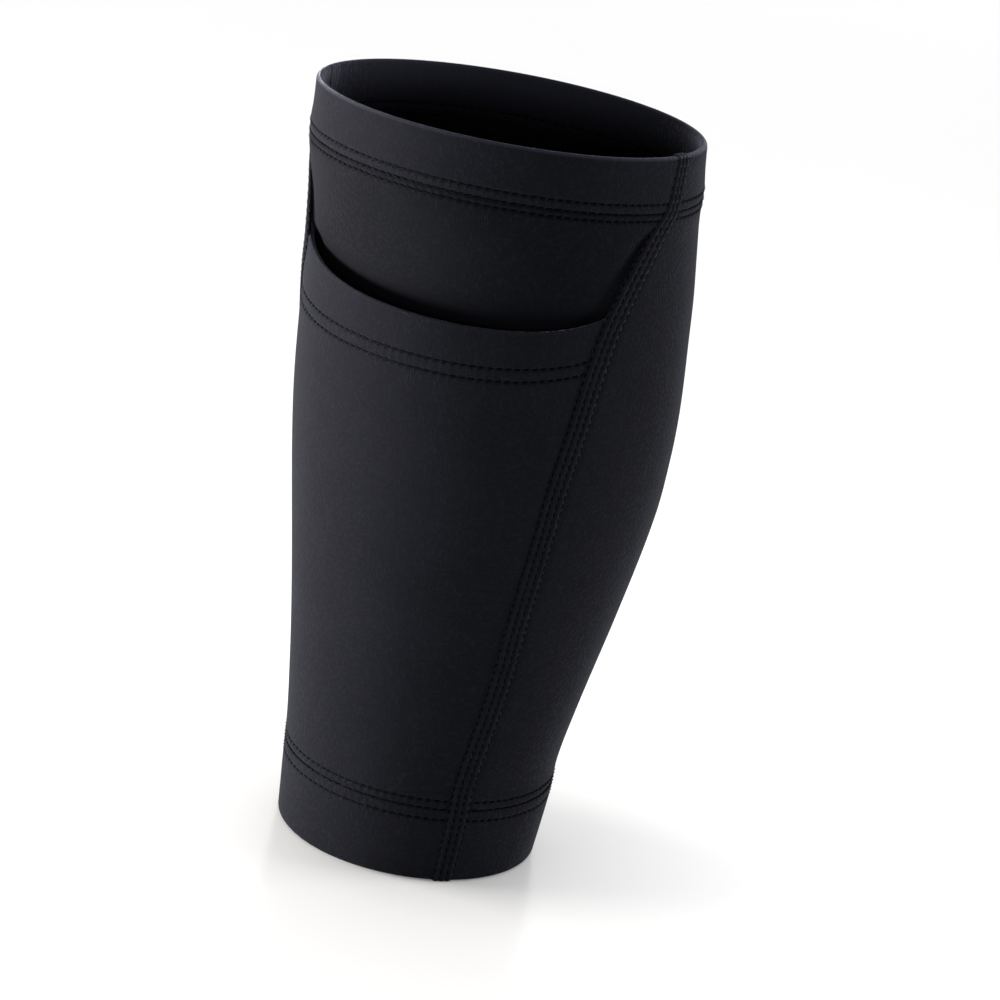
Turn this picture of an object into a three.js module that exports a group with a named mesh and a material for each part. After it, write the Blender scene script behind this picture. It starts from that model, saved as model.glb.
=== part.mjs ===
// A stretch-knit sleeve for the lower leg, with an open-topped pocket over the shin for a guard.
// It stands on its ankle edge. Millimetres, +Z up the leg, the shin faces -Y, and the origin is on
// the ground under the middle of the sleeve. A bearing is an angle round the leg, in degrees from
// the middle of the shin (-Y) towards the outer side (+X).
import * as THREE from "three";

const { degToRad, radToDeg, lerp, smoothstep } = THREE.MathUtils;

// Driving dimensions
const LENGTH = 240; // ankle edge to top edge
const TOP_BAND = 16.8; // depth of the folded band round the top
const ANKLE_BAND = 25; // depth of the folded band round the ankle
const CLOTH = 1.2; // one layer of the knit
const BAND_CLOTH = 2.4; // the bands are two layers
const HEM_CLOTH = 2; // the pocket's mouth is turned in and stitched flat
const HEM_DEPTH = 16.4; // from the pocket's edge to its lower row of stitches
const HEM_STEP = 0.6; // height over which the hem gains its second layer
const HEM_ROUND = 1; // depth over which the hem rounds off to its edge
const MOUTH_LOWEST = 184.5; // height of the pocket's edge near the middle of the shin
const INNER_CORNER = { rise: 8.5, power: 4.5 }; // how much higher that edge is at each long seam,
const OUTER_CORNER = { rise: 8, power: 8 }; // and how late it turns up on the way there
const MOUTH_LIFT = 2.2; // how far the pocket's edge stands out past the sleeve's own round form
const SHIN_DIP = 4; // how far the shin panel sinks in behind the pocket
const CLEAR_OF_MOUTH = { start: 1, depth: 8 }; // where it comes out by the seams, above that edge
const SEAM_WIDTH = 7; // flat four-needle seam
const SEAM_HEIGHT = 0.9; // how far its threads and lapped edges stand up in the middle
const SEAM_EDGE = 0.35; // and at its two edges
const SEAM_LIFT_OFF = 0.6; // the seams stop this far short of the ground and of the top
const FIT_GAP = 0.3; // left between neighbouring pieces
const POCKET_SHORT = 0.6; // the pocket's edges stop this far short of the middle of a long seam

const TOP_JOINT = LENGTH - TOP_BAND;
const KNIT = { color: 0x1c1d21, roughness: 0.86, metalness: 0 };
const SEAM_THREAD = { color: 0x141518, roughness: 0.78, metalness: 0 };

// Outside girth of the sleeve and the middle of its round section, at heights up the leg. The cloth
// is a little fuller at the joints of both bands, where it is doubled.
const SECTIONS = [
  { z: 0, girth: 264.6, x: 1, y: 3.5 },
  { z: 22, girth: 276.4, x: 1.1, y: 4.2 },
  { z: 33, girth: 279.5, x: 0.9, y: 4.3 },
  { z: 50, girth: 293.3, x: 1.3, y: 4.6 },
  { z: 66, girth: 308.5, x: 1.6, y: 5.1 },
  { z: 84, girth: 327.3, x: 1.9, y: 5.5 },
  { z: 120, girth: 364.5, x: 2.2, y: 6.1 },
  { z: 140, girth: 376.8, x: 1.8, y: 5.3 },
  { z: 156, girth: 381.1, x: 1.3, y: 4.1 },
  { z: 180, girth: 380.4, x: 0.4, y: 1.5 },
  { z: 192, girth: 379.3, x: 0, y: 0.2 },
  { z: 206, girth: 377.3, x: -0.9, y: -1.4 },
  { z: 217, girth: 378.6, x: -2, y: -2.8 },
  { z: 225, girth: 380.7, x: -2.3, y: -3.7 },
  { z: 232, girth: 377.2, x: -2.5, y: -4.5 },
  { z: 240, girth: 375.3, x: -2.8, y: -5.4 },
];

// Bearings of the two long seams, at heights up the leg. Above the pocket's mouth both swing back
// alike, and below it the whole pocket turns towards the inner side.
const SEAMS = [
  { z: 0, outer: 42, inner: -80 },
  { z: 30, outer: 42.5, inner: -80 },
  { z: 64, outer: 45, inner: -81 },
  { z: 100, outer: 45, inner: -82 },
  { z: 134, outer: 46.5, inner: -79 },
  { z: 165, outer: 52, inner: -72 },
  { z: 178, outer: 55, inner: -66 },
  { z: 190, outer: 58.5, inner: -59.5 },
  { z: 205, outer: 66, inner: -65 },
  { z: 215, outer: 72.5, inner: -72.5 },
  { z: 224, outer: 78.5, inner: -78.5 },
  { z: 240, outer: 83, inner: -83 },
];

// Across a folded band: how far in from the folded edge, and the share of the full thickness there.
const FOLD = [
  { depth: 0, share: 0.6 },
  { depth: 0.5, share: 0.9 },
  { depth: 1.5, share: 1 },
];

// A smooth curve through one column of a table, as a function of height.
function columnCurve(rows, name) {
  const heights = rows.map((row) => row.z);
  const values = rows.map((row) => row[name]);
  const curve = new THREE.CubicInterpolant(heights, values, 1);
  return (z) => curve.evaluate(z)[0];
}

const girthAt = columnCurve(SECTIONS, "girth");
const middleX = columnCurve(SECTIONS, "x");
const middleY = columnCurve(SECTIONS, "y");
const outerSeam = columnCurve(SEAMS, "outer");
const innerSeam = columnCurve(SEAMS, "inner");
const radiusAt = (z) => girthAt(z) / (2 * Math.PI);

// The point at a height and bearing, standing off the sleeve's outer face by an offset.
function onSleeve(z, bearing, offset) {
  const reach = radiusAt(z) + offset;
  const turn = degToRad(bearing);
  return new THREE.Vector3(
    middleX(z) + reach * Math.sin(turn),
    middleY(z) - reach * Math.cos(turn),
    z,
  );
}

// Bearings across the two sides of the sleeve, from 0 at one seam to 1 at the other, with each
// cloth edge a little short of the seam's own line.
const setback = (z, distance) => radToDeg(distance / radiusAt(z));
function shinBearing(z, across, short = FIT_GAP / 2) {
  return lerp(innerSeam(z) + setback(z, short), outerSeam(z) - setback(z, short), across);
}
function calfBearing(z, across, short = FIT_GAP / 2) {
  return lerp(outerSeam(z) + setback(z, short), innerSeam(z) + 360 - setback(z, short), across);
}

// A closed wall of cloth: an outer and an inner grid of points, joined round their four edges.
// Each face gives the point at a share across and at one of the rows.
function clothWall(columns, rows, outerFace, innerFace) {
  const points = [];
  for (const face of [outerFace, innerFace]) {
    for (const row of rows) {
      for (let i = 0; i <= columns; i++) points.push(face(i / columns, row));
    }
  }
  const last = rows.length - 1;
  const inward = rows.length * (columns + 1);
  const at = (i, j) => j * (columns + 1) + i;
  const triangles = [];
  for (let j = 0; j < last; j++) {
    for (let i = 0; i < columns; i++) {
      const [a, b, c, d] = [at(i, j), at(i + 1, j), at(i + 1, j + 1), at(i, j + 1)];
      triangles.push(a, b, c, a, c, d);
      triangles.push(inward + c, inward + b, inward + a, inward + d, inward + c, inward + a);
    }
  }
  const rim = [];
  for (let i = 0; i < columns; i++) rim.push(at(i, 0));
  for (let j = 0; j < last; j++) rim.push(at(columns, j));
  for (let i = columns; i > 0; i--) rim.push(at(i, last));
  for (let j = last; j > 0; j--) rim.push(at(0, j));
  rim.forEach((a, k) => {
    const b = rim[(k + 1) % rim.length];
    triangles.push(a, inward + a, inward + b, a, inward + b, b);
  });
  const geometry = new THREE.BufferGeometry().setFromPoints(points);
  geometry.setIndex(triangles);
  geometry.computeVertexNormals();
  return geometry;
}

const evenRows = (low, high, steps) =>
  Array.from({ length: steps + 1 }, (_, k) => lerp(low, high, k / steps));

const sleeve = new THREE.Group();

function addPiece(name, geometry, look) {
  const piece = new THREE.Mesh(geometry, new THREE.MeshStandardMaterial(look));
  piece.name = name;
  sleeve.add(piece);
}

const LOW_EDGE = ANKLE_BAND + FIT_GAP / 2; // the panels butt against the bands
const HIGH_EDGE = TOP_JOINT - FIT_GAP / 2;
const PANEL_ROWS = evenRows(LOW_EDGE, HIGH_EDGE, 28);
const SHIN_COLUMNS = 16;
const CALF_COLUMNS = 28;
const POCKET_COLUMNS = 20;
const POCKET_STEPS = 20;

// Calf panel: one layer, from seam to seam round the back of the leg.
addPiece(
  "calf_panel",
  clothWall(
    CALF_COLUMNS,
    PANEL_ROWS,
    (across, z) => onSleeve(z, calfBearing(z, across), 0),
    (across, z) => onSleeve(z, calfBearing(z, across), -CLOTH),
  ),
  KNIT,
);

// Height of the pocket's edge, and how full the pocket is: 0 at the seams, 1 half-way across.
const mouthAt = (across) =>
  MOUTH_LOWEST +
  INNER_CORNER.rise * (1 - across) ** INNER_CORNER.power +
  OUTER_CORNER.rise * across ** OUTER_CORNER.power;
const fullness = (across) => 1 - (2 * across - 1) ** 2;
const openness = (z) => smoothstep(z, ANKLE_BAND, MOUTH_LOWEST - HEM_DEPTH);

// Shin panel: one layer that passes behind the pocket and comes out above its edge, soon at the long
// seams and only at the top band half-way across.
function shinOffset(z, across) {
  const pocketLayer = lerp(CLOTH, HEM_CLOTH, openness(z)) + FIT_GAP;
  const clear = mouthAt(across) + CLEAR_OF_MOUTH.start;
  const level = lerp(clear + CLEAR_OF_MOUTH.depth, TOP_JOINT, fullness(across));
  const behindPocket = pocketLayer * (1 - smoothstep(z, clear, level));
  const dip = SHIN_DIP * fullness(across) * openness(z);
  return -behindPocket - dip * (1 - smoothstep(z, MOUTH_LOWEST, TOP_JOINT));
}
addPiece(
  "shin_panel",
  clothWall(
    SHIN_COLUMNS,
    PANEL_ROWS,
    (across, z) => onSleeve(z, shinBearing(z, across), shinOffset(z, across)),
    (across, z) => onSleeve(z, shinBearing(z, across), shinOffset(z, across) - CLOTH),
  ),
  KNIT,
);

// Guard pocket: a second layer over the shin, with its top edge turned in as a thicker hem.
const pocketOffset = (z, across) => MOUTH_LIFT * fullness(across) ** 2 * openness(z);
const POCKET_ROWS = [
  ...evenRows(0, 1, POCKET_STEPS).map((up) => ({ up, below: HEM_DEPTH + HEM_STEP, wall: CLOTH })),
  { up: 1, below: HEM_DEPTH, wall: HEM_CLOTH },
  { up: 1, below: HEM_DEPTH / 2, wall: HEM_CLOTH },
  { up: 1, below: HEM_ROUND, wall: HEM_CLOTH },
  { up: 1, below: 0, wall: HEM_CLOTH / 2 },
];
const pocketHeight = (across, row) => lerp(LOW_EDGE, mouthAt(across) - row.below, row.up);
function pocketFace(depthShare) {
  return (across, row) => {
    const z = pocketHeight(across, row);
    const offset = pocketOffset(z, across) - depthShare * row.wall;
    return onSleeve(z, shinBearing(z, across, POCKET_SHORT), offset);
  };
}
addPiece(
  "guard_pocket",
  clothWall(POCKET_COLUMNS, POCKET_ROWS, pocketFace(0), pocketFace(1)),
  KNIT,
);

// Bands: the knit folded double, in a shin arc and a calf arc that meet under the long seams.
function bandRows(edge, joint) {
  const inwards = Math.sign(joint - edge);
  const rows = FOLD.map(({ depth, share }) => ({ z: edge + inwards * depth, share }));
  rows.push({ z: (edge + joint) / 2, share: 1 }, { z: joint, share: 1 });
  return rows.sort((low, high) => low.z - high.z);
}
function bandFace(bearing, side) {
  return (across, { z, share }) =>
    onSleeve(z, bearing(z, across), (BAND_CLOTH / 2) * (side * share - 1));
}
const BANDS = [
  { name: "ankle_band", edge: 0, joint: ANKLE_BAND - FIT_GAP / 2 },
  { name: "top_band", edge: LENGTH, joint: TOP_JOINT + FIT_GAP / 2 },
];
const ARCS = [
  { name: "shin", bearing: shinBearing, columns: SHIN_COLUMNS },
  { name: "calf", bearing: calfBearing, columns: CALF_COLUMNS },
];
for (const band of BANDS) {
  for (const arc of ARCS) {
    const rows = bandRows(band.edge, band.joint);
    const wall = clothWall(arc.columns, rows, bandFace(arc.bearing, 1), bandFace(arc.bearing, -1));
    addPiece(`${band.name}_${arc.name}`, wall, KNIT);
  }
}

// Long seams: raised flat strips of lapped edges and thread, from the ankle edge to the top.
function seamFace(seam, raised) {
  return (across, z) => {
    const side = 2 * across - 1;
    const rise = (seam(z + 1) - seam(z - 1)) / 2;
    const lean = Math.hypot(1, degToRad(rise) * radiusAt(z));
    const bearing = seam(z) + radToDeg((side * SEAM_WIDTH * lean) / 2 / radiusAt(z));
    const height = lerp(SEAM_HEIGHT, SEAM_EDGE, Math.abs(side) ** 3);
    return onSleeve(z, bearing, FIT_GAP + raised * height);
  };
}
const SEAM_STEPS = 44;
const SEAM_COLUMNS = 4;
const seamRows = evenRows(SEAM_LIFT_OFF, LENGTH - SEAM_LIFT_OFF, SEAM_STEPS);
for (const [name, seam] of [["outer_seam", outerSeam], ["inner_seam", innerSeam]]) {
  const strip = clothWall(SEAM_COLUMNS, seamRows, seamFace(seam, 1), seamFace(seam, 0));
  addPiece(name, strip, SEAM_THREAD);
}

export default sleeve;
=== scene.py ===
"""A stretch-knit sleeve for the lower leg, with an open-topped pocket over the shin for a guard.

It stands empty on its ankle edge. Sizes are in millimetres, with +Z up the leg and the shin facing
-Y. A bearing is an angle round the leg, in degrees from the middle of the shin towards +X, and an
offset is how far something stands out from the sleeve's own round form.
"""

import bpy
import numpy as np
from mathutils import Matrix


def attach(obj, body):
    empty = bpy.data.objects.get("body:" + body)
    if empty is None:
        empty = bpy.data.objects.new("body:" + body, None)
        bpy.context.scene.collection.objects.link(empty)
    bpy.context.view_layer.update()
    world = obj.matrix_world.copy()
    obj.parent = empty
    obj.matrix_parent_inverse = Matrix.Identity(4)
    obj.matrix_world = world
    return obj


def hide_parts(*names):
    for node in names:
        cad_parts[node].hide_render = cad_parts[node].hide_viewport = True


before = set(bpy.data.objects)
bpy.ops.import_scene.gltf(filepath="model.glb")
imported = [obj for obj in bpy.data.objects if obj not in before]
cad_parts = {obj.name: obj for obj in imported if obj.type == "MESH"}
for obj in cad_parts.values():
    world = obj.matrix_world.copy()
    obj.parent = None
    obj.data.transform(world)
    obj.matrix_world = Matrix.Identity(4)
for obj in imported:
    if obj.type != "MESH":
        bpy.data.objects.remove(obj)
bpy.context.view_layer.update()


# Calf panel
# The wrap-round back of the sleeve: one layer of smooth black stretch knit, cut in one piece. Its
# sides are sewn into the two long seams and its ends into the two bands.
CLOTH = 1.2  # one layer of the knit
FIT_GAP = 0.3  # left between neighbouring pieces
TOP_JOINT, TOP_ROWS = 223.2, (226.1, 221.0)  # where the band is joined on, and its stitch rows
ANKLE_JOINT, ANKLE_ROWS = 25.0, (21.3, 27.7)
STITCH = 2.65  # needle hole to needle hole
SEAM_WIDTH = 7.0

SECTIONS = np.array([  # height, outside girth, middle of the round section in x and in y
    (0, 264.6, 1, 3.5),
    (22, 276.4, 1.1, 4.2),
    (33, 279.5, 0.9, 4.3),
    (50, 293.3, 1.3, 4.6),
    (66, 308.5, 1.6, 5.1),
    (84, 327.3, 1.9, 5.5),
    (120, 364.5, 2.2, 6.1),
    (140, 376.8, 1.8, 5.3),
    (156, 381.1, 1.3, 4.1),
    (180, 380.4, 0.4, 1.5),
    (192, 379.3, 0, 0.2),
    (206, 377.3, -0.9, -1.4),
    (217, 378.6, -2, -2.8),
    (225, 380.7, -2.3, -3.7),
    (232, 377.2, -2.5, -4.5),
    (240, 375.3, -2.8, -5.4),
])
GIRTH, MIDDLE_X, MIDDLE_Y = 1, 2, 3  # columns of that table
SEAMS = np.array([  # height, bearing of the outer long seam, bearing of the inner one
    (0, 42, -80),
    (30, 42.5, -80),
    (64, 45, -81),
    (100, 45, -82),
    (134, 46.5, -79),
    (165, 52, -72),
    (178, 55, -66),
    (190, 58.5, -59.5),
    (205, 66, -65),
    (215, 72.5, -72.5),
    (224, 78.5, -78.5),
    (240, 83, -83),
])
OUTER, INNER = 1, 2  # columns of that table
CALF_MIDDLE = 162  # bearing that the panel's flat form is measured from


def through(table, column, z):
    """A smooth curve through one column of a table of heights: between two heights it is the cubic
    that meets both values, with the slope at each taken from the heights on either side of it."""
    x, v = table[:, 0], table[:, column]
    chord = np.diff(v) / np.diff(x)
    slope = np.concatenate([[0], (v[2:] - v[:-2]) / (x[2:] - x[:-2]), [0]])
    slope[0], slope[-1] = 1.5 * chord[0] - 0.5 * slope[1], 1.5 * chord[-1] - 0.5 * slope[-2]
    i = np.clip(np.searchsorted(x, z, side="right") - 1, 0, len(x) - 2)
    h = x[i + 1] - x[i]
    s = (z - x[i]) / h
    ends = (1 + 2 * s) * (1 - s) ** 2 * v[i] + s * s * (3 - 2 * s) * v[i + 1]
    return ends + s * (1 - s) * h * ((1 - s) * slope[i] - s * slope[i + 1])


def radius(z):
    """The outside radius of the sleeve at a height: its girth over two pi."""
    return through(SECTIONS, GIRTH, z) / (2 * np.pi)


def on_sleeve(z, bearing, offset=0.0):
    """The point at a height and bearing: the middle of the section, plus the radius and an offset
    turned by the bearing from -Y towards +X. Millimetres and degrees in, metres out."""
    z, bearing, offset = np.broadcast_arrays(z, bearing, offset)
    turn, reach = np.radians(bearing), radius(z) + offset
    x = through(SECTIONS, MIDDLE_X, z) + reach * np.sin(turn)
    y = through(SECTIONS, MIDDLE_Y, z) - reach * np.cos(turn)
    return np.stack([x, y, z], -1) / 1000


def calf_bearing(z, across, short=FIT_GAP / 2):
    """Bearings round the back, from 0 at the outer seam to 1 at the inner one, each edge a little
    short of its seam."""
    gap = np.degrees(short / radius(z))
    start, end = through(SEAMS, OUTER, z) + gap, through(SEAMS, INNER, z) + 360 - gap
    return start + (end - start) * across


def spread(low, high, step, fine=(), fine_step=0.3, reach=1.5):
    """Places from low to high, a step apart and closer about each fine place: equal shares of the
    running total of how many are wanted to the millimetre."""
    place = np.linspace(low, high, 6000)
    wanted = np.full_like(place, 1 / step)
    for middle in fine:
        wanted = np.maximum(wanted, np.exp(-(((place - middle) / reach) ** 4)) / fine_step)
    total = np.concatenate([[0], np.cumsum((wanted[1:] + wanted[:-1]) / 2 * np.diff(place))])
    return np.interp(np.linspace(0, total[-1], int(np.ceil(total[-1])) + 1), total, place)


# Depth of each slow wave in the cloth, its run up the leg, its count round the leg, and its start.
WAVES = ((0.16, 23, 2, 0), (0.12, 14, -3, 1), (0.08, 37, 5, 2))


def drift(z, bearing):
    """The slow unevenness of cloth that nothing fills: three long low waves added together."""
    turn = np.radians(bearing)
    return sum(depth * np.sin(z / run + count * turn + start) for depth, run, count, start in WAVES)


def ring_pitch(z):
    """The length of one stitch in a row right round the sleeve, so that a whole number fits."""
    girth = 2 * np.pi * radius(z)
    return girth / np.round(girth / STITCH)


def smooth(value, low, high):
    """0 below low and 1 above high, with a curve between that is level at both ends."""
    t = np.clip((value - low) / (high - low), 0, 1)
    return t * t * (3 - 2 * t)


def bell(distance, width):
    """A bell curve: e to the power of minus the square of the distance in widths."""
    return np.exp(-((distance / width) ** 2))


HOLE_DEPTH, GROOVE_DEPTH = 0.12, 0.42  # of a row at its needle holes, and more under its stitches
GROOVE_WIDTH = 0.45
PUCKER_DEPTH, PUCKER_WIDTH = 0.08, 1.2


def sewn(distance, along, pitch):
    """How far a row of stitches draws the cloth in: a bell-shaped groove, deep under each stitch
    and shallow at the needle holes, and a wider, shallower pucker."""
    under = np.abs(np.sin(np.pi * along / pitch))
    groove = (HOLE_DEPTH + GROOVE_DEPTH * under) * bell(distance, GROOVE_WIDTH)
    pucker = PUCKER_DEPTH * under * bell(distance, PUCKER_WIDTH)
    return -groove - pucker


RIB_DEPTH, RIB_END = 0.05, 0.5


def ribbed(above, below, along, pitch):
    """The shallow ribs between two rows of stitches, by the distance above one and below the other:
    a dent at each stitch that lasts from row to row."""
    between = smooth(above, -RIB_END, RIB_END) * smooth(below, -RIB_END, RIB_END)
    return -RIB_DEPTH * np.sin(np.pi * along / pitch) ** 2 * between


def ring_rows(z, bearing, heights):
    """The grooves of the rows of stitches that run right round at the given heights, and the ribs
    between the two rows of each band."""
    turn = np.radians(bearing)
    grooves = sum(sewn(z - row, radius(row) * turn, ring_pitch(row)) for row in heights)
    ribs = sum(ribbed(z - low, high - z, radius(low) * turn, ring_pitch(low))
               for low, high in (ANKLE_ROWS, TOP_ROWS[::-1]))
    return grooves + ribs


ROLL_DEPTH, ROLL_PULL, ROLL_SWAY, ROLL_WIDTH = 0.5, 0.22, 0.12, 0.36
ROLL_RUN = 1.9  # how quickly the sway comes and goes along a joint
ROLL_OUTER_DEPTH, ROLL_OUTER_WIDTH = 0.12, 1.3


def joined(z, bearing, joint):
    """How a cloth edge rolls down into the joint round a band: a steep bell curve, pulled deeper
    twice to a stitch by the thread that crosses under it and swaying a little, and a wider,
    shallower one."""
    along = radius(joint) * np.radians(bearing)
    twice = np.cos(4 * np.pi * along / ring_pitch(joint))
    pull = ROLL_DEPTH + ROLL_PULL * twice + ROLL_SWAY * np.sin(along / ROLL_RUN)
    return (
        -pull * bell(z - joint, ROLL_WIDTH) - ROLL_OUTER_DEPTH * bell(z - joint, ROLL_OUTER_WIDTH))


SINK_DEPTH, SINK_WIDTH = 0.3, 0.9


def beside_seam(distance):
    """How the cloth sinks along a long seam's edge, by its distance from the seam's own line: a
    bell curve."""
    return -SINK_DEPTH * bell(np.abs(distance) - SEAM_WIDTH / 2, SINK_WIDTH)


def linear(colour):
    """An sRGB hex colour as linear RGBA: a dark channel over 12.92, otherwise a power of 2.4."""
    srgb = np.array([int(colour[i:i + 2], 16) for i in (1, 3, 5)]) / 255
    return (*np.where(srgb <= 0.04045, srgb / 12.92, ((srgb + 0.055) / 1.055) ** 2.4), 1.0)


def add_node(tree, kind, sockets=None, **settings):
    """Adds a node with its settings. Each socket is given a value, or a link where that is one."""
    made = tree.nodes.new(kind)
    for name, value in settings.items():
        setattr(made, name, value)
    for name, value in (sockets or {}).items():
        if isinstance(value, bpy.types.NodeSocket):
            tree.links.new(value, made.inputs[name])
        else:
            made.inputs[name].default_value = value
    return made


# Smooth warp of polyester and elastane, brushed on its face: almost black, with a soft bloom where
# the fibre ends are seen edge-on, hardly any gloss, fine wales that run up the leg, and short pale
# curls where fibre ends lie on the face. Light and shade are painted into it by an attribute. It is
# paler with more sheen as a painted highlight over the folds at the rims and the pocket's mouth,
# and as painted light that fades down the inside of the top band. It is darker with less sheen as
# painted shade over the shin panel.
# Real loops are about 0.5 mm. They are drawn coarser so that they show, and so are the curls.
WALE, COURSE = 0.85, 0.75
CURL, CURL_BEND, CURL_GAP = 1.9, 1.6, 1.4  # size of the curls, their bends and their breaks
MOTTLE = 20.0  # size of the cloudy patches
knit = bpy.data.materials.new("brushed_black_stretch_knit")
knit.use_nodes = True
tree = knit.node_tree
tree.nodes.clear()
flat_cloth = add_node(tree, "ShaderNodeUVMap", uv_map="cloth")
place = add_node(tree, "ShaderNodeTexCoord")
loops = add_node(tree, "ShaderNodeMapping", {
    "Vector": flat_cloth.outputs["UV"], "Scale": (1000 / WALE, 1000 / COURSE, 1)})
loop = add_node(tree, "ShaderNodeSeparateXYZ", {"Vector": loops.outputs["Vector"]})
leg = add_node(tree, "ShaderNodeMath", {0: loop.outputs["X"], 1: 0.5}, operation="PINGPONG")
rise = add_node(tree, "ShaderNodeMath", {0: leg.outputs[0], 1: 0.9, 2: loop.outputs["Y"]},
                operation="MULTIPLY_ADD")
course = add_node(tree, "ShaderNodeMath", {0: rise.outputs[0], 1: 0.5}, operation="PINGPONG")
wale = add_node(tree, "ShaderNodeMath", {0: leg.outputs[0], 1: 1.2, 2: course.outputs[0]},
                operation="MULTIPLY_ADD")
bends = add_node(tree, "ShaderNodeTexNoise", {
    "Vector": place.outputs["Object"], "Scale": 1000 / CURL_BEND, "Detail": 0.0})
bent = add_node(tree, "ShaderNodeVectorMath", {
    0: bends.outputs["Color"], 1: (CURL_BEND / 1000,) * 3, 2: place.outputs["Object"]},
    operation="MULTIPLY_ADD")
cells = add_node(tree, "ShaderNodeTexVoronoi", {
    "Vector": bent.outputs["Vector"], "Scale": 1000 / CURL}, feature="DISTANCE_TO_EDGE")
line = add_node(tree, "ShaderNodeMapRange", {
    "Value": cells.outputs["Distance"], "From Min": 0.02, "From Max": 0.12,
    "To Min": 1.0, "To Max": 0.0})
breaks = add_node(tree, "ShaderNodeTexNoise", {
    "Vector": place.outputs["Object"], "Scale": 1000 / CURL_GAP, "Detail": 0.0})
shown = add_node(tree, "ShaderNodeMapRange", {
    "Value": breaks.outputs[0], "From Min": 0.42, "From Max": 0.52})
curl = add_node(tree, "ShaderNodeMath", {0: line.outputs["Result"], 1: shown.outputs["Result"]},
                operation="MULTIPLY")
mottle = add_node(tree, "ShaderNodeTexNoise", {
    "Vector": place.outputs["Object"], "Scale": 1000 / MOTTLE, "Detail": 3.0, "Roughness": 0.6})
both = add_node(tree, "ShaderNodeMath", {0: curl.outputs[0], 1: 1.2, 2: wale.outputs[0]},
                operation="MULTIPLY_ADD")
relief = add_node(tree, "ShaderNodeBump", {
    "Height": both.outputs[0], "Strength": 0.5, "Distance": 0.00012})
cloudy = add_node(tree, "ShaderNodeMath", {0: mottle.outputs[0], 1: 0.1}, operation="MULTIPLY")
lined = add_node(tree, "ShaderNodeMath", {0: leg.outputs[0], 1: 0.12, 2: cloudy.outputs[0]},
                 operation="MULTIPLY_ADD")
shade = add_node(tree, "ShaderNodeMath", {0: curl.outputs[0], 1: 0.1, 2: lined.outputs[0]},
                 operation="MULTIPLY_ADD")
# Painted light and shade: above 0 the painted_shading attribute makes the colour paler and the
# sheen stronger, and below 0 it makes them darker and weaker.
painted_shading = add_node(tree, "ShaderNodeAttribute", attribute_name="painted_shading")
tone_with_painted_shading = add_node(tree, "ShaderNodeMath", {0: painted_shading.outputs["Fac"], 1: 0.8, 2: shade.outputs[0]},
                 operation="MULTIPLY_ADD")
bloom_and_painted_sheen = add_node(tree, "ShaderNodeMath", {0: painted_shading.outputs["Fac"], 1: 0.3, 2: 0.085},
                 operation="MULTIPLY_ADD")
# The ramp's upper end is paler than the knit's own tone, so that the painted highlights can reach
# it.
tone = add_node(tree, "ShaderNodeValToRGB", {"Fac": tone_with_painted_shading.outputs[0]})
tone.color_ramp.elements[0].color = linear("#0c0d11")
tone.color_ramp.elements[1].color = linear("#2c2d36")
surface = add_node(tree, "ShaderNodeBsdfPrincipled", {
    "Base Color": tone.outputs["Color"], "Normal": relief.outputs["Normal"], "Roughness": 0.8,
    "Specular IOR Level": 0.02, "Sheen Weight": bloom_and_painted_sheen.outputs[0], "Sheen Roughness": 0.3,
    "Sheen Tint": linear("#dddff2")})
add_node(tree, "ShaderNodeOutputMaterial", {"Surface": surface.outputs["BSDF"]})


def add_piece(name, points, faces, flat, finish, painted_shading=None):
    """A mesh from points in metres, four-cornered faces, each point's place on the flat cloth, and
    the light or shade painted on it at each point."""
    mesh = bpy.data.meshes.new(name)
    mesh.vertices.add(len(points))
    mesh.vertices.foreach_set("co", points.astype(np.float32).ravel())
    mesh.loops.add(faces.size)
    mesh.loops.foreach_set("vertex_index", faces.astype(np.int32).ravel())
    mesh.polygons.add(len(faces))
    mesh.polygons.foreach_set("loop_start", np.arange(0, faces.size, 4, dtype=np.int32))
    mesh.polygons.foreach_set("use_smooth", np.ones(len(faces), bool))
    layer = mesh.uv_layers.new(name="cloth")
    layer.data.foreach_set("uv", flat[faces.ravel()].astype(np.float32).ravel())
    if painted_shading is not None:
        mesh.attributes.new("painted_shading", "FLOAT", "POINT").data.foreach_set(
            "value", painted_shading.astype(np.float32).ravel())
    mesh.update(calc_edges=True)
    mesh.materials.append(finish)
    piece = bpy.data.objects.new(name, mesh)
    bpy.context.scene.collection.objects.link(piece)
    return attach(piece, "root")


def cloth_piece(name, outside, inside, flat, finish, painted_shading=0.0):
    """A closed sheet of cloth: an outside and an inside grid of points, joined round the edges."""
    rows, columns = outside.shape[:2]
    at = np.arange(rows * columns).reshape(rows, columns)
    face = np.stack([at[:-1, :-1], at[:-1, 1:], at[1:, 1:], at[1:, :-1]], -1).reshape(-1, 4)
    rim = np.concatenate([at[0, :-1], at[:-1, -1], at[-1, :0:-1], at[:0:-1, 0]])
    after, far = np.roll(rim, -1), rows * columns
    edge = np.stack([rim, far + rim, far + after, after], -1)
    faces = np.concatenate([face, far + face[:, ::-1], edge])
    points = np.stack([outside, inside]).reshape(-1, 3)
    # Painted light and shade, the same on both faces.
    painted_shading_grid = np.broadcast_to(painted_shading, (2, rows, columns))
    return add_piece(name, points, faces, np.stack([flat, flat]).reshape(-1, 2), finish, painted_shading_grid)


def on_flat(z, bearing, middle):
    """Where a point was on the flat cloth, in metres: its arc from a middle bearing, and height."""
    return np.stack(np.broadcast_arrays(radius(z) * np.radians(bearing - middle), z), -1) / 1000


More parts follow.
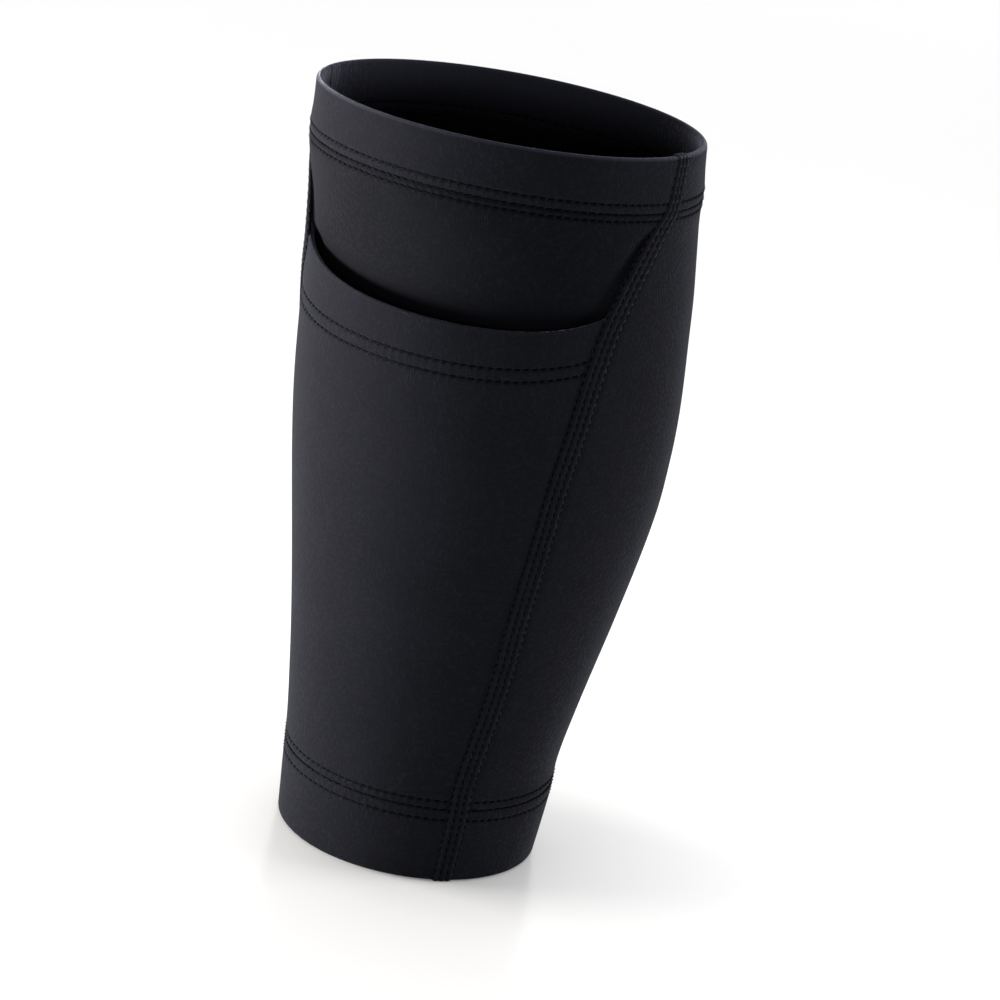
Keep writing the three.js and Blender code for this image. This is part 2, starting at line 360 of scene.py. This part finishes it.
z = spread(ANKLE_JOINT, TOP_JOINT, 3.2,
           fine=(ANKLE_JOINT, ANKLE_ROWS[1], TOP_ROWS[1], TOP_JOINT))[:, None]
across = np.linspace(0, 1, 430)[None, :]
bearing = calf_bearing(z, across)
to_outer = radius(z) * np.radians(bearing - through(SEAMS, OUTER, z))
to_inner = radius(z) * np.radians(through(SEAMS, INNER, z) + 360 - bearing)
lie = drift(z, bearing)
dents = (
    ring_rows(z, bearing, (ANKLE_ROWS[1], TOP_ROWS[1])) + joined(z, bearing, ANKLE_JOINT)
    + joined(z, bearing, TOP_JOINT) + beside_seam(to_outer) + beside_seam(to_inner)
)
calf_panel = cloth_piece(
    "calf_panel_knit", on_sleeve(z, bearing, lie + dents), on_sleeve(z, bearing, lie - CLOTH),
    on_flat(z, bearing, CALF_MIDDLE), knit)
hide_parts("calf_panel")


# Shin panel
# The base layer over the shin, of the same knit, painted a shade darker with less sheen as painted
# shade, and darker still just behind the pocket's mouth as a painted shadow. It is sewn into the
# long seams, passes behind the pocket, where it sinks in, and comes out above the mouth to meet the
# top band.
HEM_CLOTH = 2.0  # the pocket's mouth is turned in and stitched flat
HEM_DEPTH = 16.4  # from the pocket's edge to the end of the cloth turned in
MOUTH_LOWEST = 184.5
INNER_CORNER, OUTER_CORNER = (8.5, 4.5), (8, 8)  # its rise at each seam, and how late it turns up
SHIN_DIP = 5.5  # how far the panel sinks in behind the pocket
SHIN_DRIFT = 0.8  # share of the slow waves that the cloth over the shin has
SHIN_MIDDLE = -10  # bearing that the flat form of the cloth here is measured from
SHIN_PAINTED_SHADE, MOUTH_PAINTED_SHADOW = -0.1, -0.18  # painted shade over the panel, and the painted shadow added behind the mouth
PAINTED_SHADOW_BELOW, PAINTED_SHADOW_ABOVE = 2.0, 8.0  # where the painted shadow starts and ends, below and above the mouth
RISE_START = 1.0  # how far below the mouth the panel starts to come out
RISE_AT_SEAM = 5.0  # how far on from there it comes level with its seams
INNER_CREASE, OUTER_CREASE = 0.8, 1.0  # how deep the panel's margins sink beside the long seams
CREASE_OFF, CREASE_WIDTH = 5.0, 3.5  # how far that is off the seam's line
CREASE_START, CREASE_END = 7.0, 1.0  # where it fades out, below the top band's lower row


def shin_bearing(z, across, short=FIT_GAP / 2):
    """Bearings over the shin, from 0 at the inner seam to 1 at the outer one, each edge a little
    short of its seam."""
    gap = np.degrees(short / radius(z))
    start, end = through(SEAMS, INNER, z) + gap, through(SEAMS, OUTER, z) - gap
    return start + (end - start) * across


def fullness(across):
    """How full the pocket is: a parabola that is 0 at the seams and 1 half-way across."""
    return 1 - (2 * across - 1) ** 2


def openness(z):
    """How far the pocket stands open at a height: 0 at the ankle band and 1 from its hem up."""
    return smooth(z, ANKLE_JOINT, MOUTH_LOWEST - HEM_DEPTH)


def turned_up(across, lowest, inner, outer):
    """A height that turns up at each seam: a rise times a power of the way across to that seam."""
    return lowest + inner[0] * (1 - across) ** inner[1] + outer[0] * across ** outer[1]


def mouth(across):
    """The height of the pocket's edge: lowest near the middle and turned up late at each seam."""
    return turned_up(across, MOUTH_LOWEST, INNER_CORNER, OUTER_CORNER)


def shin_offset(z, across):
    """How far the shin panel lies under the sleeve's round form: the pocket's thickness, and a dip
    that is deepest half-way across. Both fade out above the mouth, soonest at the seams."""
    layer = CLOTH + (HEM_CLOTH - CLOTH) * openness(z) + FIT_GAP
    dip = SHIN_DIP * fullness(across) ** 0.75 * openness(z)
    clear = mouth(across) - RISE_START
    level = clear + RISE_AT_SEAM + (TOP_JOINT - clear - RISE_AT_SEAM) * fullness(across) ** 2
    fade = 1 - smooth(z, MOUTH_LOWEST, TOP_JOINT)
    return -layer * (1 - smooth(z, clear, level)) - dip * fade


def crease(distance, depth):
    """How a margin of the shin panel sinks a little way off its seam: a bell curve."""
    return -depth * bell(distance - CREASE_OFF, CREASE_WIDTH)


z = spread(ANKLE_JOINT, TOP_JOINT, 2.0, fine=(TOP_ROWS[1], TOP_JOINT))[:, None]
across = np.linspace(0, 1, 320)[None, :]
bearing = shin_bearing(z, across)
to_inner = radius(z) * np.radians(bearing - through(SEAMS, INNER, z))
to_outer = radius(z) * np.radians(through(SEAMS, OUTER, z) - bearing)
below_band = 1 - smooth(z, TOP_ROWS[1] - CREASE_START, TOP_ROWS[1] - CREASE_END)
# Where the painted shadow lies: behind the pocket, fading out just above its mouth.
behind = 1 - smooth(z, mouth(across) - PAINTED_SHADOW_BELOW, mouth(across) + PAINTED_SHADOW_ABOVE)
lie = shin_offset(z, across) + SHIN_DRIFT * drift(z, bearing) + below_band * (
    crease(to_inner, INNER_CREASE) + crease(to_outer, OUTER_CREASE))
dents = ring_rows(z, bearing, (TOP_ROWS[1],)) + joined(z, bearing, TOP_JOINT)
shin_panel = cloth_piece(
    "shin_panel_knit", on_sleeve(z, bearing, lie + dents), on_sleeve(z, bearing, lie - CLOTH),
    on_flat(z, bearing, SHIN_MIDDLE), knit, painted_shading=SHIN_PAINTED_SHADE + MOUTH_PAINTED_SHADOW * behind)
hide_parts("shin_panel")


# Guard pocket
# A second layer of the knit over the shin, sewn in at the long seams and the ankle band. Its top
# edge is turned in and held by two rows of stitches, which makes the pocket's rolled mouth.
MOUTH_LIFT = 2.2  # how far the mouth stands out past the sleeve's round form
POCKET_SHORT = 0.6  # how far its sides stop short of the long seams' lines
HEM_ROWS = (172.3, 168.3)
HEM_INNER, HEM_OUTER = (3.9, 4), (7, 7)  # rise of those rows at each seam, and how late it comes
HEM_LAYER, HEM_ROUND = 0.94, 1.0
HEM_STEP = 6.0  # height over which the cloth thins to one layer of the hem
MOUTH_PAINTED_HIGHLIGHT = 0.45  # strength of the painted highlight, paler with more sheen, where the mouth turns over
HEM_REACH = 62.0  # radius of the pocket at its hem


def hem_row(across, lowest):
    """The height of a row of hem stitches, which turns up less than the edge does."""
    return turned_up(across, lowest, HEM_INNER, HEM_OUTER)


def pocket_height(across, level):
    """The height at a level of the pocket. The levels are its heights where the mouth is lowest,
    and between the foot, the two rows and the edge they are stretched to follow those lines."""
    knots = (ANKLE_JOINT, HEM_ROWS[1], HEM_ROWS[0], MOUTH_LOWEST)
    lines = (
        0 * across + knots[0], hem_row(across, knots[1]), hem_row(across, knots[2]), mouth(across))
    z = lines[0] + 0 * level
    for low, high, start, end in zip(knots, knots[1:], lines, lines[1:]):
        z = z + (end - start) * np.clip((level - low) / (high - low), 0, 1)
    return z


def pocket_lie(z, across):
    """How far the pocket stands out: it bellies in the middle, more so the more it stands open."""
    belly = MOUTH_LIFT * fullness(across) ** 2 * openness(z)
    return belly + SHIN_DRIFT * drift(z, shin_bearing(z, across, POCKET_SHORT))


def pocket_dents(z, across):
    """Where the pocket's face is drawn in: along the hem's rows, the ankle band and the seams."""
    bearing = shin_bearing(z, across, POCKET_SHORT)
    along = HEM_REACH * np.radians(bearing)
    rows = sum(sewn(z - hem_row(across, row), along, STITCH) for row in HEM_ROWS) + ribbed(
        z - hem_row(across, HEM_ROWS[1]), hem_row(across, HEM_ROWS[0]) - z, along, STITCH)
    to_outer = radius(z) * np.radians(through(SEAMS, OUTER, z) - bearing)
    to_inner = radius(z) * np.radians(bearing - through(SEAMS, INNER, z))
    return (
        rows + ring_rows(z, bearing, (ANKLE_ROWS[1],)) + joined(z, bearing, ANKLE_JOINT)
        + beside_seam(to_outer) + beside_seam(to_inner)
    )


across = np.linspace(0, 1, 320)[None, :]
outer_leg = spread(ANKLE_JOINT, MOUTH_LOWEST - HEM_ROUND, 2.0,
                   fine=(ANKLE_JOINT, ANKLE_ROWS[1], *HEM_ROWS))
turn = np.linspace(0, np.pi, 11)[1:-1]
inner_leg = np.linspace(MOUTH_LOWEST - HEM_ROUND, MOUTH_LOWEST - HEM_DEPTH, 12)
over = np.full(len(turn), MOUTH_LOWEST - HEM_ROUND)
level = np.concatenate([outer_leg, over, inner_leg])[:, None]
fold = np.concatenate([0 * outer_leg, turn, np.pi + 0 * inner_leg])[:, None]
base = pocket_height(across, level)
lower_row = hem_row(across, HEM_ROWS[1])
wall = CLOTH + (HEM_LAYER - CLOTH) * smooth(base, lower_row - HEM_STEP, lower_row)


def pocket_face(depth, dents=0.0):
    """One face of the pocket's cloth, turned over at the mouth: half a round of the fold carries it
    from the outer leg over the edge and down behind."""
    out = HEM_ROUND - depth
    offset = pocket_lie(base, across) + dents - HEM_ROUND + out * np.cos(fold)
    height = base + np.where((fold > 0) & (fold < np.pi), out * np.sin(fold), 0)
    return on_sleeve(height, shin_bearing(base, across, POCKET_SHORT), offset)


bearing = shin_bearing(base, across, POCKET_SHORT)
behind = np.where(fold > np.pi / 2, 2 * mouth(across) - 2 * base, 0)
drawn = pocket_dents(base, across) * np.maximum(np.cos(fold), 0)
# The mouth's fold carries a painted highlight: paler, with more sheen.
pocket = cloth_piece("guard_pocket_knit", pocket_face(0, drawn), pocket_face(wall),
                     on_flat(base, bearing, SHIN_MIDDLE)
                     + np.stack([0 * behind, behind], -1) / 1000, knit, MOUTH_PAINTED_HIGHLIGHT * np.sin(fold))
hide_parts("guard_pocket")


# Bands
# A strip of the knit folded double round each end of the sleeve. The fold is the rim, and the two
# raw edges are joined to the panels by a flat cover stitch with a row on each side of the joint.
TOP_EDGE, ANKLE_EDGE = 240.0, 0.0
BAND_LAYER, BAND_CLOTH = 1.1, 2.4  # one layer of a band, and both
BAND_DRIFT = 0.5  # share of the slow waves that the stiffer bands have
PAINTED_HIGHLIGHT_TURN = 0.1, 0.8  # how far round a rim's fold the painted highlight starts, and is full


def band(name, node, edge, joint, row, bearing_at, columns, middle):
    """A folded band: a long U with its bend at the rim, carried round the leg. Down the outer leg,
    round half a turn at the rim and back up inside, with the row of stitches drawn in."""
    up = 1 if edge > joint else -1
    bend = edge - up * BAND_CLOTH / 2
    leg = spread(min(joint, bend), max(joint, bend), 1.4, fine=(joint, row))[::up]
    turn = np.linspace(0, np.pi, 13)[1:-1]
    height = np.concatenate([leg, np.full(len(turn), leg[-1]), leg[::-1]])[:, None]
    fold = np.concatenate([0 * leg, turn, np.pi + 0 * leg])[:, None]
    if up < 0:
        height, fold = height[::-1], fold[::-1]
    across = np.linspace(0, 1, columns)[None, :]
    bearing = bearing_at(height, across)
    dents = (ring_rows(height, bearing, (row,)) + joined(height, bearing, joint)) * np.cos(fold)
    lie = BAND_DRIFT * drift(height, bearing) - BAND_CLOTH / 2

    def face(depth, dents=0.0):
        out = BAND_CLOTH / 2 - depth
        return on_sleeve(
            height + up * out * np.sin(fold), bearing, lie + dents + out * np.cos(fold))

    behind = np.where(fold > np.pi / 2, 2 * (edge - height), 0)
    laid = on_flat(height, bearing, middle) + np.stack(
        np.broadcast_arrays(0 * bearing, behind), -1) / 1000
    # On the top band only: a painted highlight over the rim's fold, and painted light that fades
    # down the inside from the rim.
    painted_shading_grid = smooth(fold, *PAINTED_HIGHLIGHT_TURN) * (1 - behind / (2 * (edge - joint))) if up > 0 else 0.0
    piece = cloth_piece(name, face(0, dents), face(BAND_LAYER), laid, knit, painted_shading_grid)
    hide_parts(node)
    return piece


band("top_band_shin_knit", "top_band_shin", TOP_EDGE, TOP_JOINT, TOP_ROWS[0], shin_bearing,
     340, 0)
band("top_band_calf_knit", "top_band_calf", TOP_EDGE, TOP_JOINT, TOP_ROWS[0], calf_bearing,
     420, 180)
band("ankle_band_shin_knit", "ankle_band_shin", ANKLE_EDGE, ANKLE_JOINT, ANKLE_ROWS[0],
     shin_bearing, 200, -20)
band("ankle_band_calf_knit", "ankle_band_calf", ANKLE_EDGE, ANKLE_JOINT, ANKLE_ROWS[0],
     calf_bearing, 360, 160)


# Long seams
# The panels' edges are lapped and joined by a flat four-needle seam that runs from rim to rim, over
# the bands and round both folds. The lapped edges stand up in three soft ridges between its rows.
SEAM_HEIGHT = 0.5  # how far the lapped edges stand up
SEAM_GROOVE, SEAM_GROOVE_WIDTH = 0.38, 0.42  # how much deeper a row is under its stitches
SEAM_LINE = 0.1  # rise of the line that its length and its stitches are counted along
SEAM_BASE, SEAM_WALL, SEAM_FOOT = 0.05, 0.25, 0.02  # added to its rise, its wall, its highest foot
SEAM_ROWS = np.array([-3.15, -1.05, 1.05, 3.15])
SEAM_TUCK = 12.0  # how far the seam goes down inside past a rim


def seam_path(steps):
    """The line that a long seam follows in its own upright plane: down inside the ankle rim, round
    it, up the sleeve, and round and down inside the top rim. Gives height, offset and the turn of
    the fold."""
    half = BAND_CLOTH / 2
    turn = np.linspace(0, np.pi, 13)
    inside_low = np.linspace(SEAM_TUCK, half, 20)
    inside_high = np.linspace(TOP_EDGE - half, TOP_EDGE - SEAM_TUCK, 20)
    middle = np.linspace(half, TOP_EDGE - half, steps)
    height = np.concatenate([
        inside_low[:-1], half - half * np.sin(turn), middle[1:-1],
        TOP_EDGE - half + half * np.sin(turn), inside_high[1:]])
    fold = np.concatenate([
        np.pi + 0 * inside_low[:-1], turn[::-1], 0 * middle[1:-1],
        turn, np.pi + 0 * inside_high[1:]])
    return height, -half + half * np.cos(fold), fold


def seam_point(column, height, offset, fold, aside, raised):
    """A point on a long seam: aside from its line, square to it, and raised off the cloth along the
    fold's own outward direction."""
    slant = np.radians(through(SEAMS, column, height + 1) - through(SEAMS, column, height - 1)) / 2
    lean = np.hypot(1, slant * radius(height))
    bearing = through(SEAMS, column, height) + np.degrees(aside * lean / radius(height))
    tip = np.where(height > TOP_EDGE / 2, 1, -1) * np.sin(fold)
    return on_sleeve(height, bearing, offset + raised * np.cos(fold)) + np.stack(
        np.broadcast_arrays(0 * bearing, 0 * bearing, raised * tip), -1) / 1000


def seam_arch(aside):
    """The low arch of a seam: its height, less a share that is the sixth power of the way aside."""
    return SEAM_HEIGHT * (1 - np.abs(aside / (SEAM_WIDTH / 2)) ** 6)


def seam_rise(aside, along):
    """How high the seam stands across its width: its arch, cut by a bell-shaped groove at each row
    that is deep under each stitch and shallow at the needle holes."""
    under = np.abs(np.sin(np.pi * along / STITCH))
    depth = HOLE_DEPTH + SEAM_GROOVE * under
    return seam_arch(aside) - sum(depth * bell(aside - row, SEAM_GROOVE_WIDTH) for row in SEAM_ROWS)


def length_along(line):
    """The running length of a line of points, in millimetres."""
    return 1000 * np.concatenate([[0], np.cumsum(np.linalg.norm(np.diff(line, axis=0), axis=1))])


def pressed(height, at_rim):
    """How much of its rise a seam keeps up its length: all of it, and a share at the top rim."""
    return 1 - (1 - at_rim) * smooth(height, TOP_JOINT, TOP_EDGE - 2)


def long_seam(name, node, column, at_rim):
    """A long seam as a raised strip: its rise across its width, carried along its path."""
    height, offset, fold = (part[:, None] for part in seam_path(430))
    line = seam_point(column, height, offset, fold, np.zeros((1, 1)), SEAM_LINE)[:, 0]
    along = length_along(line)[:, None]
    aside = np.linspace(-SEAM_WIDTH / 2, SEAM_WIDTH / 2, 33)[None, :]
    rise = seam_rise(aside, along) * pressed(height, at_rim) + SEAM_BASE
    top = seam_point(column, height, offset, fold, aside, rise)
    under = np.minimum(rise - SEAM_WALL, SEAM_FOOT)
    foot = seam_point(column, height, offset, fold, aside, under)
    laid = np.stack(np.broadcast_arrays(aside, along), -1) / 1000
    # A painted highlight where the seam turns over the top rim, as on the bands.
    painted_shading_grid = smooth(fold, *PAINTED_HIGHLIGHT_TURN) * smooth(height, TOP_JOINT, TOP_EDGE)
    piece = cloth_piece(name, top, foot, laid, knit, painted_shading_grid)
    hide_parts(node)
    return piece


RIM_SHARE = {OUTER: 1.0, INNER: 0.0}  # the inner seam is pressed flat at the top rim
long_seam("outer_seam_lap", "outer_seam", OUTER, RIM_SHARE[OUTER])
long_seam("inner_seam_lap", "inner_seam", INNER, RIM_SHARE[INNER])


# Stitches
# Black polyester sewing thread, about 0.6 mm thick. Each stitch is pulled down into the knit and
# stands up only beside the needle hole, so it shows as a dark dash with one small glint: the hump
# catches the light, and a paler colour is painted on it as a painted highlight.
THREAD = 0.62  # real thread is about 0.3 mm, drawn thicker so that it shows
STITCH_LONG = 2.2
SUNK, DIVE = 0.34, 0.3  # how deep a stitch lies in the cloth, and how much deeper at its ends
HUMP, HUMP_AT, HUMP_WIDTH = 0.4, 0.62, 0.2  # its hump, with 1 as half the stitch
SIDES = 6  # of the tube that a stitch is drawn as

# Spun polyester: blacker than the knit, with a paler colour painted from the hump to the needle
# hole as a painted highlight.
thread = bpy.data.materials.new("spun_black_polyester_thread")
thread.use_nodes = True
tree = thread.node_tree
tree.nodes.clear()
PLY = 0.5  # one turn of the twisted plies
laid_thread = add_node(tree, "ShaderNodeUVMap", uv_map="cloth")
twist = add_node(tree, "ShaderNodeSeparateXYZ", {"Vector": laid_thread.outputs["UV"]})
ply = add_node(tree, "ShaderNodeMath", {
    0: twist.outputs["Y"], 1: 1000 / PLY, 2: twist.outputs["X"]}, operation="MULTIPLY_ADD")
strand = add_node(tree, "ShaderNodeMath", {0: ply.outputs[0], 1: 0.5}, operation="PINGPONG")
ridge = add_node(tree, "ShaderNodeBump", {
    "Height": strand.outputs[0], "Strength": 0.6, "Distance": 0.00008})
# Painted highlight: each stitch is painted paler from its hump to its end beside the needle hole.
painted_glint = add_node(tree, "ShaderNodeMapRange", {
    "Value": twist.outputs["Y"], "From Min": 0.0006, "From Max": 0.0008})
thread_tone = add_node(tree, "ShaderNodeValToRGB", {"Fac": painted_glint.outputs["Result"]})
thread_tone.color_ramp.elements[0].color = linear("#030304")
thread_tone.color_ramp.elements[1].color = linear("#1a1b20")
glint = add_node(tree, "ShaderNodeBsdfPrincipled", {
    "Base Color": thread_tone.outputs["Color"], "Normal": ridge.outputs["Normal"], "Roughness": 0.6,
    "Specular IOR Level": 0.02})
add_node(tree, "ShaderNodeOutputMaterial", {"Surface": glint.outputs["BSDF"]})


def stitch_row(line, out, along, pitch):
    """The stitches along a line of points: each is a short six-sided tube that lies sunk in the
    cloth for most of its length, humps up in a bell curve near one end, and dives at both needle
    holes by the eighth power of the way to them."""
    first, last = np.ceil(along[0] / pitch), np.floor(along[-1] / pitch)
    middle = (np.arange(first, last) + 0.5)[:, None] * pitch
    t = np.array([[-1, -0.75, -0.2, 0.3, 0.52, 0.72, 1]])
    at = middle + t * STITCH_LONG / 2
    spine = np.stack([np.interp(at, along, line[:, k]) for k in range(3)], -1)
    up = np.stack([np.interp(at, along, out[:, k]) for k in range(3)], -1)
    level = -SUNK + HUMP * bell(t - HUMP_AT, HUMP_WIDTH) - DIVE * np.abs(t) ** 8
    spine = spine + up * (level / 1000)[..., None]
    ahead = np.gradient(spine, axis=1)
    ahead /= np.linalg.norm(ahead, axis=-1, keepdims=True)
    side = np.cross(ahead, up)
    angle = np.linspace(0, 2 * np.pi, SIDES + 1)[:-1]
    thick = (THREAD / 2000 * (1 - 0.3 * t ** 4))[..., None, None]
    points = spine[:, :, None] + thick * (
        np.cos(angle)[:, None] * side[:, :, None] + np.sin(angle)[:, None] * up[:, :, None])
    index = np.arange(at.size * SIDES).reshape(*at.shape, SIDES)
    turned = np.roll(index, -1, axis=2)
    tube = np.stack([index[:, :-1], index[:, 1:], turned[:, 1:], turned[:, :-1]], -1).reshape(-1, 4)
    start, end = index[:, 0], index[:, -1]
    caps = [start[:, [0, 1, 2, 3]], start[:, [0, 3, 4, 5]],
            end[:, [3, 2, 1, 0]], end[:, [5, 4, 3, 0]]]
    own_length = (t * STITCH_LONG / 2000)[..., None] + 0 * at[..., None]
    laid = np.stack(np.broadcast_arrays(angle / (2 * np.pi), own_length), -1)
    return points.reshape(-1, 3), np.concatenate([tube, *caps]), laid.reshape(-1, 2)


def sew(name, rows):
    """All the stitches of a group of rows, as one piece."""
    counts = np.cumsum([0] + [len(points) for points, _, _ in rows])
    piece = add_piece(
        name, np.concatenate([points for points, _, _ in rows]),
        np.concatenate([faces + start for (_, faces, _), start in zip(rows, counts)]),
        np.concatenate([laid for _, _, laid in rows]), thread)
    return piece


def outward(z, bearing):
    """The outward direction at each height and bearing: level, along the bearing."""
    turn = np.radians(bearing)
    return np.stack(np.broadcast_arrays(np.sin(turn), -np.cos(turn), 0 * z), -1)


def ring_stitches(row, inside):
    """A row of stitches right round the sleeve, on its outside or on its inside."""
    bearing = np.linspace(0, 360, 1500)
    z = np.full_like(bearing, row)
    thickness = BAND_CLOTH if row in (TOP_ROWS[0], ANKLE_ROWS[0]) else CLOTH
    line = on_sleeve(z, bearing, BAND_DRIFT * drift(z, bearing) - (thickness if inside else 0))
    out = outward(z, bearing) * (-1 if inside else 1)
    along = radius(row) * np.radians(bearing)
    return stitch_row(line, out, along, ring_pitch(row))


sew("band_stitches", [
    ring_stitches(row, inside) for row in (*TOP_ROWS, TOP_JOINT, *ANKLE_ROWS, ANKLE_JOINT)
    for inside in (False, True)])

across = np.linspace(0, 1, 900)
hem_rows = []
for lowest in HEM_ROWS:
    z = hem_row(across, lowest)
    bearing = shin_bearing(z, across, POCKET_SHORT)
    line = on_sleeve(z, bearing, pocket_lie(z, across))
    hem_rows.append(stitch_row(
        line, outward(z, bearing), HEM_REACH * np.radians(bearing), STITCH))
sew("pocket_stitches", hem_rows)

SEWN_SHORT = 4.0  # how far below the top rim the stitches of a seam pressed flat there stop

for name, column in (("outer_seam_stitches", OUTER), ("inner_seam_stitches", INNER)):
    height, offset, fold = seam_path(900)
    sewn_to = np.argmax(height > TOP_EDGE - SEWN_SHORT) if RIM_SHARE[column] == 0 else len(height)
    height, offset, fold = height[:sewn_to], offset[:sewn_to], fold[:sewn_to]
    along = length_along(seam_point(column, height, offset, fold, 0, SEAM_LINE))
    rows = []
    for aside in SEAM_ROWS:
        level = seam_arch(aside) * pressed(height, RIM_SHARE[column])
        line = seam_point(column, height, offset, fold, aside, level)
        out = 1000 * (seam_point(column, height, offset, fold, aside, level + 1) - line)
        rows.append(stitch_row(line, out, along, STITCH))
    sew(name, rows)


# Studio
# A white acrylic table that glows faintly as painted light, with a painted shadow round the
# sleeve's foot where the glow fades out. Soft lights stand on the left, the right and in front,
# with a broad one overhead and a bright room behind. The camera stands above, a little to the outer
# side, and is tilted on its own axis.
PAINTED_SHADOW_CENTRE, PAINTED_SHADOW_INNER, PAINTED_SHADOW_OUTER = (0.0194, 0.038, 0), 0.03, 0.1  # centre of the painted shadow round the foot, where the glow starts, and where it is full, in metres
FLOOR_HALF, FLOOR_DROP = 8.0, 0.0003  # half the table's width, and how far it lies below the sleeve

# Polished white acrylic: almost pure white, with a soft, faint image of what stands on it. It glows
# faintly as painted light, except in a painted shadow round the foot.
paint = bpy.data.materials.new("white_seamless_floor")
paint.use_nodes = True
tree = paint.node_tree
tree.nodes.clear()
spot = add_node(tree, "ShaderNodeTexCoord")
foot = add_node(tree, "ShaderNodeVectorMath", {0: spot.outputs["Object"], 1: PAINTED_SHADOW_CENTRE},
                operation="DISTANCE")
# Painted light: the floor's glow, faded out round the foot as a painted shadow.
painted_glow = add_node(tree, "ShaderNodeMapRange", {
    "Value": foot.outputs["Value"], "From Min": PAINTED_SHADOW_INNER, "From Max": PAINTED_SHADOW_OUTER,
    "To Min": 0.0, "To Max": 0.15})
sweep = add_node(tree, "ShaderNodeBsdfPrincipled", {
    "Base Color": linear("#f6f6f6"), "Roughness": 0.22, "Specular IOR Level": 0.5,
    "Emission Color": (1, 1, 1, 1), "Emission Strength": painted_glow.outputs["Result"]})
add_node(tree, "ShaderNodeOutputMaterial", {"Surface": sweep.outputs["BSDF"]})
corners = np.array([(-1, -1, 0), (1, -1, 0), (1, 1, 0), (-1, 1, 0)], float) * FLOOR_HALF
floor_mesh = bpy.data.meshes.new("floor")
floor_mesh.from_pydata((corners + (0, 0, -FLOOR_DROP)).tolist(), [], [(0, 1, 2, 3)])
floor_mesh.materials.append(paint)
floor = bpy.data.objects.new("floor", floor_mesh)
bpy.context.scene.collection.objects.link(floor)

VIEW_TURN, VIEW_ROLL = np.radians(22.02), np.radians(10.515)
VIEW_REACH, VIEW_HEIGHT = 968.0, 420.2
AIM_ASIDE, AIM_HEIGHT, LENS, SENSOR = 13.25, 115.47, 116.17, 36.0
right = np.array([np.cos(VIEW_TURN), np.sin(VIEW_TURN), 0])
away = np.array([-np.sin(VIEW_TURN), np.cos(VIEW_TURN), 0])
eye = -VIEW_REACH * away + (0, 0, VIEW_HEIGHT)
ahead = AIM_ASIDE * right + (0, 0, AIM_HEIGHT) - eye
ahead /= np.linalg.norm(ahead)
level = np.cross(ahead, (0, 0, 1))
level /= np.linalg.norm(level)
upright = np.cross(level, ahead)
tilted = level * np.cos(VIEW_ROLL) + upright * np.sin(VIEW_ROLL)
crown = np.cross(tilted, ahead)
lens = bpy.data.cameras.new("camera")
lens.lens, lens.sensor_width = LENS, SENSOR
camera = bpy.data.objects.new("camera", lens)
camera.matrix_world = Matrix.Translation(eye / 1000) @ Matrix(
    np.stack([tilted, crown, -ahead], -1).tolist()).to_4x4()
bpy.context.scene.collection.objects.link(camera)
bpy.context.scene.camera = camera

room = bpy.data.worlds.new("studio")
room.use_nodes = True
tree = room.node_tree
tree.nodes.clear()
look = add_node(tree, "ShaderNodeTexCoord")
behind = add_node(tree, "ShaderNodeVectorMath", {0: look.outputs["Generated"], 1: tuple(away)},
                  operation="DOT_PRODUCT")
glow = add_node(tree, "ShaderNodeMapRange", {
    "Value": behind.outputs["Value"], "From Min": -0.1, "From Max": 0.9,
    "To Min": 0.0, "To Max": 1.25})
backdrop = add_node(tree, "ShaderNodeBackground", {
    "Color": (1, 1, 1, 1), "Strength": glow.outputs["Result"]})
add_node(tree, "ShaderNodeOutputWorld", {"Surface": backdrop.outputs["Background"]})
bpy.context.scene.world = room


def shine(lamp, place, aim):
    """Hangs a light at a place, in metres, and turns it to face a point."""
    lit = bpy.data.objects.new(lamp.name, lamp)
    toward = np.array(aim, float) - np.array(place, float)
    toward /= np.linalg.norm(toward)
    aside = np.cross(toward, away)
    aside /= np.linalg.norm(aside)
    lit.matrix_world = Matrix.Translation(place) @ Matrix(
        np.stack([aside, np.cross(aside, toward), -toward], -1).tolist()).to_4x4()
    bpy.context.scene.collection.objects.link(lit)


for name, place, size, length, power, tint in (
    ("left_softbox", -1.0 * right - 0.02 * away + (0, 0, 0.07), 0.2, 0.7, 51.0, "#fffbf4"),
    ("right_softbox", 0.9 * right + 0.15 * away + (0, 0, 0.28), 0.5, 0.5, 6.5, "#ffffff"),
    ("front_softbox", -1.2 * away + (0, 0, 0.37), 0.2, 0.2, 4.6, "#ffffff"),
):
    lamp = bpy.data.lights.new(name, "AREA")
    lamp.shape, lamp.size, lamp.size_y, lamp.energy = "RECTANGLE", size, length, power
    lamp.color = linear(tint)[:3]
    shine(lamp, place, (0, 0, 0.12))
lamp = bpy.data.lights.new("overhead", "SUN")
lamp.angle, lamp.energy = np.radians(70), 0.9
shine(lamp, 0.02 * away + (0, 0, 1), (0, 0, 0))

bpy.context.scene.view_settings.view_transform = "Standard"
bpy.context.scene.view_settings.look = "None"
